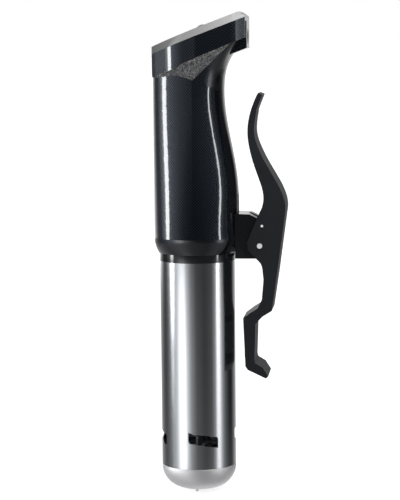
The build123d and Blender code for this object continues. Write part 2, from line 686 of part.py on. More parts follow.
with BuildPart() as control_board:
    add(tilted_prism(CONTROL_INSET, TOP_Z - CONTROL_DEPTH - BOARD_T, TOP_Z - CONTROL_DEPTH))
    wheel_at = slanted(TOP_Z).location * Location((WHEEL_X, 0, WHEEL_PROUD - WHEEL_R))
    with Locations(wheel_at):
        Cylinder(WHEEL_R + 1, WHEEL_W + 2, rotation=(90, 0, 0), mode=Mode.SUBTRACT)
finish(control_board, "control_board")

with BuildPart() as board_posts:
    for x, y in ((-24, 10), (-24, -10), (33, 18), (33, -18)):
        with BuildPart(mode=Mode.PRIVATE) as post:
            with Locations((x, y, TOP_Z + HEAD_SLOPE * x - CONTROL_DEPTH - 8)):
                Cylinder(2.2, 60)
            split(bisect_by=slanted(SLAB_LOW_Z + WALL), keep=Keep.TOP)
            split(bisect_by=slanted(TOP_Z - CONTROL_DEPTH - BOARD_T), keep=Keep.BOTTOM)
        add(post.part)
finish(board_posts, "board_posts")

with BuildPart() as display_module:
    with Locations(slanted(TOP_Z - GLASS_T).location * Location((DISPLAY_X, 0, -DISPLAY_T / 2))):
        Box(DISPLAY_L, DISPLAY_W, DISPLAY_T)
finish(display_module, "display_module")

with BuildPart() as buzzer:
    with Locations(slanted(TOP_Z - CONTROL_DEPTH).location * Location((24, 8, 2))):
        Cylinder(4.5, 4)
finish(buzzer, "buzzer")

# ======== panel ========
with BuildPart() as panel_rim:
    add(tilted_prism(0, RIM_LOW_Z, TOP_Z))
    add(tilted_prism(RIM_LAND, TOP_Z - GLASS_T, TOP_Z + 5), mode=Mode.SUBTRACT)
    add(tilted_prism(RIM_LAND + GLASS_LEDGE, RIM_LOW_Z - 5, TOP_Z), mode=Mode.SUBTRACT)
    rear_x = HEAD_SIDE[-1][0]
    bevel_low = (rear_x, 0, RIM_LOW_Z + HEAD_SLOPE * rear_x + RIM_H * 0.12)
    bevel_high = (rear_x - BEVEL_RUN, 0, TOP_Z + HEAD_SLOPE * (rear_x - BEVEL_RUN))
    split(bisect_by=under_plane(bevel_low, bevel_high), keep=Keep.BOTTOM)
finish(panel_rim, "panel_rim")

with BuildPart() as panel_glass:
    add(tilted_prism(RIM_LAND + SEAM, TOP_Z - GLASS_T, TOP_Z))
    with Locations(slanted(TOP_Z).location * Location((WHEEL_X, 0, 0))):
        Box(2 * WHEEL_R, WHEEL_W + 1, 4 * GLASS_T, mode=Mode.SUBTRACT)
    with Locations(*[slanted(TOP_Z).location * Location((KEY_X, y, 0)) for y in KEY_Y]):
        Cylinder(KEY_R, 4 * GLASS_T, mode=Mode.SUBTRACT)
finish(panel_glass, "panel_glass")

with BuildPart() as touch_keys:
    for y in KEY_Y:
        with Locations(slanted(TOP_Z).location * Location((KEY_X, y, -GLASS_T / 2))):
            Cylinder(KEY_R, GLASS_T)
finish(touch_keys, "touch_keys")

with BuildPart() as thumbwheel:
    with Locations(wheel_at):
        Cylinder(WHEEL_R, WHEEL_W, rotation=(90, 0, 0))
        Cylinder(AXLE_R, 4 * WHEEL_W, rotation=(90, 0, 0), mode=Mode.SUBTRACT)
finish(thumbwheel, "thumbwheel")

with BuildPart() as wheel_axle:
    with Locations(wheel_at):
        Cylinder(AXLE_R - RUN_GAP, WHEEL_W + 2 * CRADLE_T + 1, rotation=(90, 0, 0))
finish(wheel_axle, "wheel_axle")

with BuildPart() as wheel_cradle:
    cheek_y = (WHEEL_W + CRADLE_T) / 2 + 0.25
    for s in (-1, 1):
        with Locations(wheel_at * Location((0, s * cheek_y, 0))):
            Box(7, CRADLE_T, 8)
        with Locations(wheel_at * Location((0, s * cheek_y, -6))):
            Box(10, CRADLE_T, 8)
    with Locations(wheel_at):
        Cylinder(AXLE_R - RUN_GAP, FAR, rotation=(90, 0, 0), mode=Mode.SUBTRACT)
    split(bisect_by=slanted(TOP_Z - CONTROL_DEPTH), keep=Keep.TOP)
finish(wheel_cradle, "wheel_cradle")

inlet_z = KEEL_LOW_Z + HEAD_SLOPE * KEEL_BACK_X + INLET_UP
with BuildPart() as inlet_gland:
    with BuildSketch(Plane.YZ.offset(KEEL_BACK_X - GLAND_L)):
        with Locations((0, inlet_z)):
            Circle(GLAND_R)
            Circle(GLAND_BORE_R, mode=Mode.SUBTRACT)
    extrude(amount=GLAND_L)
finish(inlet_gland, "inlet_gland")

# ======== clamp ========
rail_screw_points = [(s * RAIL_SCREW_Y, HANDLE_Z + h) for s in (-1, 1) for h in RAIL_SCREW_UP]
with BuildPart() as clamp_rail:
    add(handle_form.part)
    bar(
        (RAIL_DEPTH_X, FAR),
        (-RAIL_HALF_W + SEAM, RAIL_HALF_W - SEAM),
        (HANDLE_Z, HANDLE_Z + RAIL_H),
        mode=Mode.INTERSECT,
    )
    neck = TEE_NECK_W / 2 + SLIDE_GAP
    head = TEE_HEAD_W / 2 + SLIDE_GAP
    bar((TEE_HEAD_X[0], FAR), (-neck, neck), (0, HANDLE_Z + RAIL_H - 2), mode=Mode.SUBTRACT)
    bar(
        (TEE_HEAD_X[0] - SLIDE_GAP, TEE_HEAD_X[1] + SLIDE_GAP),
        (-head, head),
        (HANDLE_Z + 1, HANDLE_Z + RAIL_H - 2),
        mode=Mode.SUBTRACT,
    )
    for y, z in rail_screw_points:
        with Locations((RAIL_DEPTH_X, y, z)):
            Cylinder(SCREW_R, 60, rotation=(0, 90, 0), mode=Mode.SUBTRACT)
        with Locations((RAIL_DEPTH_X + RAIL_SCREW_SINK + 20, y, z)):
            Cylinder(SCREW_HEAD_R, 40, rotation=(0, 90, 0), mode=Mode.SUBTRACT)
finish(clamp_rail, "clamp_rail")

with BuildPart() as rail_screws:
    for y, z in rail_screw_points:
        with Locations((RAIL_DEPTH_X + RAIL_SCREW_SINK / 2, y, z)):
            Cylinder(SCREW_R, RAIL_SCREW_SINK, rotation=(0, 90, 0))
        with Locations((RAIL_DEPTH_X + RAIL_SCREW_SINK + SCREW_HEAD_H / 2, y, z)):
            Cylinder(SCREW_HEAD_R, SCREW_HEAD_H, rotation=(0, 90, 0))
finish(rail_screws, "rail_screws")

bracket_low = HANDLE_Z + BRACKET_LOW
with BuildPart() as clamp_bracket:
    with BuildSketch(Plane.XZ):
        with BuildLine():
            Polyline(
                (25, bracket_low),
                (PIVOT_X - 3.5, bracket_low),
                (PIVOT_X + 3.0, bracket_low + 4.4),
                (PIVOT_X + 6.8, PIVOT_Z),
                (PIVOT_X + 4.6, PIVOT_Z + 6.0),
                (PIVOT_X - 2.2, PIVOT_Z + 10.0),
                (PIVOT_X - 2.6, bracket_low + BRACKET_H - 3.6),
                (PIVOT_X - 8.0, bracket_low + BRACKET_H - 0.8),
                (25, bracket_low + BRACKET_H),
                close=True,
            )
        make_face()
    extrude(amount=BRACKET_W / 2, both=True)
    # the saddle that clears the handle all along the slide
    with Locations((0, 0, HANDLE_Z)):
        Cylinder(HANDLE_R + BRACKET_GAP, FAR, mode=Mode.SUBTRACT)
    # the tee that runs in the rail
    bar(TEE_HEAD_X, (-TEE_HEAD_W / 2, TEE_HEAD_W / 2), (HANDLE_Z + 1.2, bracket_low + BRACKET_H - 4))
    bar(
        (TEE_HEAD_X[1], HANDLE_R + 2),
        (-TEE_NECK_W / 2, TEE_NECK_W / 2),
        (HANDLE_Z + 1.2, bracket_low + BRACKET_H - 4),
    )
    # the gap for the spring
    bar(
        (SPRING_SLOT_X, FAR),
        (-SPRING_SLOT_W / 2, SPRING_SLOT_W / 2),
        (bracket_low + 3, 2 * HANDLE_Z),
        mode=Mode.SUBTRACT,
    )
    with Locations((PIVOT_X, 0, PIVOT_Z)):
        Cylinder(PIN_R, FAR, rotation=(90, 0, 0), mode=Mode.SUBTRACT)
finish(clamp_bracket, "clamp_bracket")

with BuildPart() as pivot_pin:
    with Locations((PIVOT_X, 0, PIVOT_Z)):
        Cylinder(PIN_R, LEVER_W, rotation=(90, 0, 0))
    chamfer(pivot_pin.edges().filter_by(GeomType.CIRCLE), 0.4)
    for s in (-1, 1):
        with Locations((PIVOT_X, s * LEVER_W / 2, PIVOT_Z)):
            Box(PIN_R * 1.3, 1.6, 0.7, rotation=(0, 45, 0), mode=Mode.SUBTRACT)
            Box(PIN_R * 1.3, 1.6, 0.7, rotation=(0, -45, 0), mode=Mode.SUBTRACT)
finish(pivot_pin, "pivot_pin")

stop_x, stop_z = PIVOT_X + STOP_PIN_AT[0], PIVOT_Z + STOP_PIN_AT[1]
with BuildPart() as stop_pin:
    with Locations((stop_x, 0, stop_z)):
        Cylinder(STOP_PIN_R, LEVER_W, rotation=(90, 0, 0))
finish(stop_pin, "stop_pin")

jaw_pad_x = JAW_X + PAD_T
# seen from the side, from the pivot
LEVER_SIDE = Plane(origin=(PIVOT_X, 0, PIVOT_Z), x_dir=(1, 0, 0), z_dir=(0, -1, 0))
with BuildPart() as clamp_lever:
    with BuildSketch(LEVER_SIDE):
        with BuildLine():
            Spline(
                (-0.9, 120.2),
                (-6.5, 106.9),
                (-9.2, 90.4),
                (-7.4, 76.0),
                (-0.9, 54.9),
                (3.1, 40.9),
                (0.3, 26.9),
            )
            Polyline(
                (0.3, 26.9),
                (-9.9, 2.9),
                (-9.3, -2.9),
                (-2.8, -10.1),
            )
            Spline((-2.8, -10.1), (1.3, -15.1), (2.5, -22.1), (1.5, -42.6), tangents=((1, -1), (-0.1, -1)))
            Polyline(
                (1.5, -42.6),
                (-1.9, -49.9),
                (-6.7, -52.8),
                (JAW_X - PIVOT_X, -57.8),
                (JAW_X - PIVOT_X + 1.6, -96.5),
                (-10.1, -99.3),
                (4.4, -106.2),
                (6.3, -104.5),
                (1.9, -97.5),
                (-4.1, -93.9),
                (-4.7, -91.1),
                (-3.7, -62.3),
                (1.9, -56.5),
                (9.3, -51.9),
                (13.0, -27.6),
                (19.6, 20.9),
            )
            Spline(
                (19.6, 20.9),
                (20.6, 31.4),
                (18.1, 41.5),
                (7.3, 61.4),
                (-0.7, 77.4),
                (-4.0, 90.9),
                (-2.4, 104.9),
                (2.5, 118.8),
                tangents=((0.14, 1), (0.4, 1)),
            )
            Line((2.5, 118.8), (-0.9, 120.2))
        make_face()
    extrude(amount=LEVER_W / 2, both=True)
    # seen from behind, the paddle and the jaw draw in towards their ends
    with BuildSketch(Plane.YZ.shift_origin((0, 0, PIVOT_Z))):
        with BuildLine():
            right = [
                (JAW_HALF_W, -FAR),
                (JAW_HALF_W, -55.0),
                (LEVER_W / 2, -23.0),
                (LEVER_W / 2, 67.0),
                (TIP_HALF_W, 105.0),
                (TIP_HALF_W, FAR),
            ]
            Polyline(*right, *[(-y, z) for y, z in reversed(right)], close=True)
        make_face()
    extrude(amount=FAR, mode=Mode.INTERSECT)
    # the room between the cheeks
    room_y = LEVER_W / 2 - LEVER_CHEEK
    with BuildSketch(LEVER_SIDE.offset(-room_y)):
        with BuildLine():
            Polyline((-20.0, -11.9), (10.0, -11.9), (14.3, 26.7), (-20.0, 26.7), close=True)
        make_face()
    extrude(amount=2 * room_y, mode=Mode.SUBTRACT)
    with Locations((PIVOT_X, 0, PIVOT_Z)):
        Cylinder(PIN_R + RUN_GAP, FAR, rotation=(90, 0, 0), mode=Mode.SUBTRACT)
    with Locations((stop_x, 0, stop_z)):
        Cylinder(STOP_PIN_R, FAR, rotation=(90, 0, 0), mode=Mode.SUBTRACT)
    bar((SLEEVE_R, jaw_pad_x), (-PAD_HALF_W, PAD_HALF_W), PAD_Z, mode=Mode.SUBTRACT)
finish(clamp_lever, "clamp_lever")

with BuildPart() as jaw_pad:
    with BuildSketch(Plane.XZ):
        with BuildLine():
            Polyline(
                (JAW_X + 0.3, PAD_Z[1]),
                (jaw_pad_x, PAD_Z[1]),
                (jaw_pad_x, PAD_Z[0]),
                (JAW_X + 0.9, PAD_Z[0]),
                close=True,
            )
        make_face()
    extrude(amount=PAD_HALF_W, both=True)
finish(jaw_pad, "jaw_pad")

with BuildPart() as torsion_spring:
    coil_low_y = -SPRING_PITCH * SPRING_TURNS / 2
    with BuildLine() as spring_path:
        Helix(
            SPRING_PITCH,
            SPRING_PITCH * SPRING_TURNS,
            SPRING_R,
            center=(PIVOT_X, coil_low_y, PIVOT_Z),
            direction=(0, 1, 0),
        )
    with BuildSketch(Plane(origin=spring_path.line @ 0, z_dir=spring_path.line % 0)):
        Circle(SPRING_WIRE_R)
    sweep(is_frenet=True)
finish(torsion_spring, "torsion_spring")
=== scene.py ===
import json
from math import cos, pi, radians, sin

import bmesh
import bpy
from mathutils import Matrix, Vector


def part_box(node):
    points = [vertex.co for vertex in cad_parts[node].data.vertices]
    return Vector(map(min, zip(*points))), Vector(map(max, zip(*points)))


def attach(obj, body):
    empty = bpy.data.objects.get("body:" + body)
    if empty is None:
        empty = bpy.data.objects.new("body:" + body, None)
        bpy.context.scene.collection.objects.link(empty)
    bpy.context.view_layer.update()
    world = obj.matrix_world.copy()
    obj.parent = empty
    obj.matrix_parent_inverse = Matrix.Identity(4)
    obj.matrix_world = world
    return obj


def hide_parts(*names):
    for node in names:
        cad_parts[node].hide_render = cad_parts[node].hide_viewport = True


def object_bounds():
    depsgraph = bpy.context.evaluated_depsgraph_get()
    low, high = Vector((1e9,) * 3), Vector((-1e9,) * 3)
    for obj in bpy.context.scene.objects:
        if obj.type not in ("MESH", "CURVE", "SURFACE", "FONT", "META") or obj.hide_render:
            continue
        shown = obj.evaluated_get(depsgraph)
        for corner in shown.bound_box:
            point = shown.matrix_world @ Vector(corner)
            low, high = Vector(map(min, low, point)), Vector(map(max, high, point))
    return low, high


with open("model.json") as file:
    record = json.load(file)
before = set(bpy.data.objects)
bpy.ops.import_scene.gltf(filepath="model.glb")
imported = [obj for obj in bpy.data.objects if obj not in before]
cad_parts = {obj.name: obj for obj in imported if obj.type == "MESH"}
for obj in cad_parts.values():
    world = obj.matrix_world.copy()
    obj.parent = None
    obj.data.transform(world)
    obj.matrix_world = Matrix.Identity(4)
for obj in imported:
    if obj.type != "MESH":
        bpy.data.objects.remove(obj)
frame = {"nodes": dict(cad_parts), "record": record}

MM = 0.001
cad_low, cad_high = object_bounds()

# ======== camera ========
CAMERA_AZIMUTH = radians(6.0)
CAMERA_DISTANCE = 1.47
CAMERA_RISE = radians(6.5)  # how far above the horizon it stands, seen from the middle of the object
CAMERA_ROLL = radians(-0.54)
CAMERA_LENS = 132.0
SENSOR_WIDTH = 36.0
CAMERA_SIGHT = 50.0  # farthest thing it sees, in metres
AIM = Vector((2.1 * MM, 0, 192.5 * MM))


def make_camera():
    """The camera stands in front of the object's right side, a little above its middle."""
    back = Vector((
        sin(CAMERA_AZIMUTH) * cos(CAMERA_RISE),
        -cos(CAMERA_AZIMUTH) * cos(CAMERA_RISE),
        sin(CAMERA_RISE),
    ))
    data = bpy.data.cameras.new("camera")
    data.lens = CAMERA_LENS
    data.sensor_width = SENSOR_WIDTH
    data.clip_end = CAMERA_SIGHT
    camera = bpy.data.objects.new("camera", data)
    bpy.context.scene.collection.objects.link(camera)
    camera.location = AIM + back * CAMERA_DISTANCE
    turn = (-back).to_track_quat("-Z", "Y").to_matrix().to_4x4()
    camera.rotation_euler = (turn @ Matrix.Rotation(CAMERA_ROLL, 4, "Z")).to_euler()
    bpy.context.scene.camera = camera


make_camera()

# ======== node helpers ========


def new_material(name):
    """An empty node material with its Principled shader."""
    material = bpy.data.materials.new(name)
    material.use_nodes = True
    nodes = material.node_tree.nodes
    return material, nodes, material.node_tree.links, nodes["Principled BSDF"]


def put(shader, **values):
    """Set constants straight on the shader's sockets."""
    for name, value in values.items():
        shader.inputs[name.replace("_", " ")].default_value = value


def math_node(nodes, links, operation, a, b=None):
    """A Math node fed by sockets or numbers."""
    node = nodes.new("ShaderNodeMath")
    node.operation = operation
    for socket, value in zip(node.inputs, (a, b)):
        if value is None:
            continue
        if isinstance(value, (int, float)):
            socket.default_value = value
        else:
            links.new(value, socket)
    return node.outputs[0]


def scaled(nodes, links, value, factor, shift):
    """A socket times a factor, plus a shift."""
    output = math_node(nodes, links, "MULTIPLY_ADD", value, factor)
    output.node.inputs[2].default_value = shift
    return output


def split_vector(nodes, links, vector):
    """The X, Y and Z outputs of a vector socket."""
    node = nodes.new("ShaderNodeSeparateXYZ")
    links.new(vector, node.inputs[0])
    return node.outputs


def mix_color(nodes, links, share, a, b):
    """A colour mix, where share is a socket and a and b are colours or sockets."""
    node = nodes.new("ShaderNodeMix")
    node.data_type = "RGBA"
    links.new(share, node.inputs[0])
    for socket, value in ((node.inputs[6], a), (node.inputs[7], b)):
        if isinstance(value, tuple):
            socket.default_value = (*value, 1.0)
        else:
            links.new(value, socket)
    return node.outputs[2]


def noise(nodes, links, vector, scale, detail=2.0, roughness=0.5):
    """Noise over a vector socket."""
    node = nodes.new("ShaderNodeTexNoise")
    node.inputs["Scale"].default_value = scale
    node.inputs["Detail"].default_value = detail
    node.inputs["Roughness"].default_value = roughness
    links.new(vector, node.inputs["Vector"])
    return node.outputs["Fac"]


def vector_node(nodes, links, operation, vector, constant):
    """A vector Math node fed by a socket and a constant vector."""
    node = nodes.new("ShaderNodeVectorMath")
    node.operation = operation
    links.new(vector, node.inputs[0])
    node.inputs[1].default_value = constant
    return node


def stretched(nodes, links, vector, scale):
    """The same vector with each axis scaled by its own amount."""
    return vector_node(nodes, links, "MULTIPLY", vector, scale).outputs[0]


def ramp(nodes, links, value, stops):
    """A colour ramp through (position, grey or colour) stops."""
    node = nodes.new("ShaderNodeValToRGB")
    links.new(value, node.inputs[0])
    elements = node.color_ramp.elements
    while len(elements) < len(stops):
        elements.new(0.5)
    for element, (place, colour) in zip(elements, stops):
        element.position = place
        element.color = (*colour, 1.0) if isinstance(colour, tuple) else (colour, colour, colour, 1.0)
    return node.outputs[0]


def bump(nodes, links, height, strength, distance, normal=None):
    """A bump from a height socket."""
    node = nodes.new("ShaderNodeBump")
    node.inputs["Strength"].default_value = strength
    node.inputs["Distance"].default_value = distance
    links.new(height, node.inputs["Height"])
    if normal is not None:
        links.new(normal, node.inputs["Normal"])
    return node.outputs[0]


def place(nodes):
    """The point in the object's own frame, in metres."""
    return nodes.new("ShaderNodeTexCoord").outputs["Object"]


# ======== light ========
# Brightness of the studio around the object, by its direction in degrees: 0 is where the front faces, +90 the rear.
# The handle mirrors the upper ring, the sleeve the lower one, and faces that lean down the ring underfoot.
UPPER_RING = (
    (-180, 0.5),
    (-168, 1.9),
    (-146, 1.5),
    (-128, 0.5),
    (-120, 0.10),
    (-104, 0.12),
    (-92, 0.9),
    (-85, 3.0),
    (-84, 14.0),
    (-74, 14.0),
    (-73, 0.9),
    (-66, 0.55),
    (-50, 0.30),
    (-34, 0.08),
    (-14, 0.03),
    (20, 0.04),
    (62, 0.08),
    (67, 0.6),
    (68, 10.0),
    (72, 10.0),
    (73, 0.6),
    (82, 0.10),
    (138, 0.04),
    (148, 0.22),
    (160, 0.8),
    (172, 0.8),
    (180, 0.5),
)
LOWER_RING = (
    (-180, 0.9),
    (-150, 0.42),
    (-128, 0.12),
    (-112, 0.05),
    (-96, 0.12),
    (-84, 0.22),
    (-72, 0.55),
    (-62, 1.1),
    (-54, 2.3),
    (-48, 3.0),
    (-38, 3.0),
    (-30, 1.3),
    (-16, 0.45),
    (0, 0.13),
    (26, 0.05),
    (50, 0.10),
    (60, 0.5),
    (67, 1.8),
    (74, 1.8),
    (84, 0.5),
    (96, 0.13),
    (114, 0.005),
    (128, 0.005),
    (146, 0.25),
    (164, 0.6),
    (180, 0.9),
)
UNDER_RING = (
    (-180, 0.75),
    (-130, 0.42),
    (-90, 0.30),
    (-45, 0.70),
    (-10, 0.28),
    (35, 0.18),
    (70, 0.42),
    (100, 0.25),
    (135, 0.28),
    (152, 0.9),
    (180, 0.75),
)
RING_TOP = 16.0  # scale of the ramps, whose stops lie between 0 and 1
# where one ring gives way to the next, as a share of the height: 0 is straight down, 0.5 level and 1 straight up
UNDERFOOT = (0.33, 0.40)
OVER_SLEEVE = (0.436, 0.443)
OVERHEAD = (0.62, 0.85)
OVERHEAD_LEVEL = 0.45
FLOOR_REACH = 40.0


def ring_light(nodes, links, share, stops):
    """Brightness all round from a list of (degrees, brightness)."""
    levels = ramp(nodes, links, share, [((a + 180) / 360, b / RING_TOP) for a, b in stops])
    return math_node(nodes, links, "MULTIPLY", levels, RING_TOP)


def blend_values(nodes, links, share, a, b):
    """A mix of two numbers, each a socket or a constant."""
    node = nodes.new("ShaderNodeMix")
    links.new(share, node.inputs[0])
    for socket, value in ((node.inputs[2], a), (node.inputs[3], b)):
        if isinstance(value, float):
            socket.default_value = value
        else:
            links.new(value, socket)
    return node.outputs[0]


def make_world():
    """A white room for the camera, and for light and reflections rings of bright and dark panels."""
    world = bpy.data.worlds.new("studio")
    bpy.context.scene.world = world
    world.use_nodes = True
    nodes, links = world.node_tree.nodes, world.node_tree.links
    nodes.clear()
    way = split_vector(nodes, links, nodes.new("ShaderNodeTexCoord").outputs["Generated"])
    forward = math_node(nodes, links, "MULTIPLY", way["Y"], -1.0)
    turn = math_node(nodes, links, "ARCTAN2", way["X"], forward)
    share = scaled(nodes, links, turn, 1 / (2 * pi), 0.5)
    upper = ring_light(nodes, links, share, UPPER_RING)
    lower = ring_light(nodes, links, share, LOWER_RING)
    height = scaled(nodes, links, way["Z"], 0.5, 0.5)
    over_sleeve = ramp(nodes, links, height, [(OVER_SLEEVE[0], 0.0), (OVER_SLEEVE[1], 1.0)])
    rings = blend_values(nodes, links, over_sleeve, lower, upper)
    # overhead the panels give way to an even soft light, and underfoot to the glow of the floor
    overhead = ramp(nodes, links, height, [(OVERHEAD[0], 0.0), (OVERHEAD[1], 1.0)])
    rings = blend_values(nodes, links, overhead, rings, OVERHEAD_LEVEL)
    underfoot = ramp(nodes, links, height, [(UNDERFOOT[0], 1.0), (UNDERFOOT[1], 0.0)])
    rings = blend_values(nodes, links, underfoot, rings, ring_light(nodes, links, share, UNDER_RING))
    seen = nodes.new("ShaderNodeBackground")
    seen.inputs["Color"].default_value = (1.0, 1.0, 1.0, 1.0)
    lit = nodes.new("ShaderNodeBackground")
    lit.inputs["Color"].default_value = (1.0, 1.0, 1.0, 1.0)
    links.new(rings, lit.inputs["Strength"])
    pick = nodes.new("ShaderNodeMixShader")
    links.new(nodes.new("ShaderNodeLightPath").outputs["Is Camera Ray"], pick.inputs[0])
    links.new(lit.outputs[0], pick.inputs[1])
    links.new(seen.outputs[0], pick.inputs[2])
    out = nodes.new("ShaderNodeOutputWorld")
    links.new(pick.outputs[0], out.inputs["Surface"])


def softbox(name, at, aim, size, power):
    """A square area light."""
    data = bpy.data.lights.new(name, "AREA")
    data.size = size
    data.energy = power
    light = bpy.data.objects.new(name, data)
    bpy.context.scene.collection.objects.link(light)
    light.location = at
    light.rotation_euler = (Vector(aim) - Vector(at)).to_track_quat("-Z", "Y").to_euler()


def make_floor():
    """A plain pale floor under the feet, which mirrors nothing into the steel."""
    bpy.ops.mesh.primitive_circle_add(
        vertices=64, radius=FLOOR_REACH, fill_type="NGON", location=(0, 0, cad_low.z)
    )
    floor = bpy.context.object
    floor.name = "floor"
    material, nodes, links, shader = new_material("floor_paper")
    put(shader, Base_Color=(0.9, 0.9, 0.9, 1.0), Roughness=0.9, Emission_Strength=0.62)
    put(shader, Emission_Color=(1.0, 1.0, 1.0, 1.0))
    floor.data.materials.append(material)
    floor.visible_glossy = False
    floor.visible_shadow = False


# a faint light from the front, and the main one from above the right side
softbox("key_light", (-0.52, -0.12, 0.62), (0, 0, 0.30), 0.24, 0.5)
softbox("top_light", (0.38, -0.55, 0.74), (0.02, 0, 0.36), 0.20, 3.2)
make_world()
make_floor()
bpy.context.scene.view_settings.view_transform = "Standard"

# ======== materials ========
WEAVE_PITCH = 2.3 * MM
HANDLE_R = 34.0 * MM
HEAD_SLOPE = 0.38
SLAB_DROP = 22.0 * MM  # from the panel down to the underside of the head's side
RIM_H = 6.0 * MM
rim_low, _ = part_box("panel_rim")
panel_z = rim_low.z + RIM_H - HEAD_SLOPE * rim_low.x  # the panel's height on the axis


def under_slab(x, y):
    """A point on the slanted underside of the head's side, from millimetres."""
    return Vector((x, y, HEAD_SLOPE * x)) * MM + Vector((0, 0, panel_z - SLAB_DROP))


# corners of the flat facets under the head
SHOULDER = under_slab(-15.6, 28.7)
CREASE_HIGH = under_slab(3.0, 34.0)
CREASE_LOW = Vector((0.5 * MM, 30.1 * MM, panel_z - SLAB_DROP - 17.2 * MM))
FRONT_FOOT = Vector((-24.3 * MM, 18.7 * MM, panel_z - SLAB_DROP - 15.5 * MM))
TIP_FRONT = under_slab(-25.0, 19.6)
TIP_REAR = under_slab(30.5, 29.1)
FACETS = (
    (SHOULDER, CREASE_HIGH, CREASE_LOW),
    (SHOULDER, CREASE_LOW, FRONT_FOOT),
    (SHOULDER, FRONT_FOOT, TIP_FRONT),
    (TIP_REAR, CREASE_HIGH, CREASE_LOW),
)
FACET_REACH = 0.15 * MM  # how near a facet's plane a point counts as on it
FACET_TURN = 0.997  # least cosine between its normal and the facet's


def along_vector(nodes, links, vector, direction):
    """How far a vector socket reaches along a fixed direction."""
    return vector_node(nodes, links, "DOT_PRODUCT", vector, direction).outputs["Value"]


def facet_mask(nodes, links):
    """1 on the flat facets under the head, found by their planes, the same on both sides of the handle."""
    coordinates = nodes.new("ShaderNodeTexCoord").outputs
    sides = [split_vector(nodes, links, coordinates[name]) for name in ("Object", "Normal")]
    far_side = math_node(nodes, links, "SIGN", sides[0]["Y"])
    mirrored = []
    for side in sides:
        merge = nodes.new("ShaderNodeCombineXYZ")
        links.new(side["X"], merge.inputs["X"])
        links.new(math_node(nodes, links, "MULTIPLY", side["Y"], far_side), merge.inputs["Y"])
        links.new(side["Z"], merge.inputs["Z"])
        mirrored.append(merge.outputs[0])
    point, facing = mirrored
    mask = None
    for a, b, c in FACETS:
        normal = (b - a).cross(c - a).normalized()
        if normal.y < 0:
            normal.negate()
        reach = along_vector(nodes, links, point, normal)
        away = math_node(nodes, links, "SUBTRACT", reach, normal.dot(a))
        near = math_node(nodes, links, "LESS_THAN", math_node(nodes, links, "ABSOLUTE", away), FACET_REACH)
        turned = along_vector(nodes, links, facing, normal)
        level = math_node(nodes, links, "GREATER_THAN", turned, FACET_TURN)
        here = math_node(nodes, links, "MULTIPLY", near, level)
        mask = here if mask is None else math_node(nodes, links, "MAXIMUM", mask, here)
    return mask


def woven_gloss():
    """Black-blue moulding under a clear coat, with a fine diagonal weave, and rough grey facets under the head."""
    material, nodes, links, shader = new_material("woven_gloss")
    point = place(nodes)
    spot = split_vector(nodes, links, point)
    turn = math_node(nodes, links, "ARCTAN2", spot["Y"], spot["X"])
    around = math_node(nodes, links, "MULTIPLY", turn, HANDLE_R)
    waves = []
    for run in (around, spot["Z"]):
        phase = math_node(nodes, links, "MULTIPLY", run, 2 * pi / WEAVE_PITCH)
        waves.append(math_node(nodes, links, "SINE", phase))
    woven = math_node(nodes, links, "MULTIPLY", waves[0], waves[1])
    level = scaled(nodes, links, woven, 0.5, 0.5)
    weave = mix_color(nodes, links, level, (0.002, 0.003, 0.005), (0.024, 0.032, 0.043))
    # cast grit of the facets: pale grains on dark ground
    mask = facet_mask(nodes, links)
    grit = noise(nodes, links, point, 850.0, 3.0, 0.75)
    grains = [(0.38, (0.008, 0.008, 0.009)), (0.5, (0.045, 0.045, 0.047)), (0.66, (0.17, 0.17, 0.174))]
    cast = ramp(nodes, links, grit, grains)
    links.new(mix_color(nodes, links, mask, weave, cast), shader.inputs["Base Color"])
    links.new(blend_values(nodes, links, mask, 1.0, 0.0), shader.inputs["Metallic"])
    links.new(blend_values(nodes, links, mask, 0.42, 0.8), shader.inputs["Roughness"])
    links.new(blend_values(nodes, links, mask, 1.0, 0.0), shader.inputs["Coat Weight"])
    relief = math_node(nodes, links, "MULTIPLY", grit, mask)
    links.new(bump(nodes, links, relief, 0.8, 0.0008), shader.inputs["Normal"])
    put(shader, Coat_Roughness=0.025, Coat_IOR=1.6)
    return material


def gloss_black():
    """Plain gloss black moulding with the faint ripple of a moulded face."""
    material, nodes, links, shader = new_material("gloss_black")
    ripple = noise(nodes, links, place(nodes), 60.0, 1.0)
    put(shader, Base_Color=(0.006, 0.0065, 0.008, 1.0), Roughness=0.06, IOR=1.55)
    links.new(bump(nodes, links, ripple, 0.05, 0.0005), shader.inputs["Normal"])
    return material


def lever_matte():
    """Charcoal glass-filled nylon with a fine spark-eroded texture."""
    material, nodes, links, shader = new_material("lever_matte")
    point = place(nodes)
    grain = noise(nodes, links, point, 2200.0, 3.0, 0.6)
    patches = noise(nodes, links, point, 40.0, 2.0)
    colour = mix_color(nodes, links, patches, (0.005, 0.006, 0.0085), (0.009, 0.0105, 0.0135))
    links.new(colour, shader.inputs["Base Color"])
    put(shader, IOR=1.45, Specular_IOR_Level=0.3)
    rough = ramp(nodes, links, grain, [(0.3, 0.48), (0.7, 0.62)])
    links.new(rough, shader.inputs["Roughness"])
    links.new(bump(nodes, links, grain, 0.35, 0.0002), shader.inputs["Normal"])
    return material


def brushed(name, colour, roughness, grain_scale, depth, metallic=1.0):
    """Steel with a fine grain, which is lines round the sleeve's axis where the scale is largest along Z."""
    material, nodes, links, shader = new_material(name)
    point = place(nodes)
    lines = noise(nodes, links, stretched(nodes, links, point, grain_scale), 1.0, 3.0, 0.6)
    broad = noise(nodes, links, point, 25.0, 2.0)
    worn = math_node(nodes, links, "ADD", lines, broad)
    rough = ramp(nodes, links, worn, [(0.6, roughness * 0.85), (1.4, roughness * 1.2)])
    links.new(rough, shader.inputs["Roughness"])
    put(shader, Base_Color=(*colour, 1.0), Metallic=metallic)
    links.new(bump(nodes, links, lines, 0.2, depth), shader.inputs["Normal"])
    return material


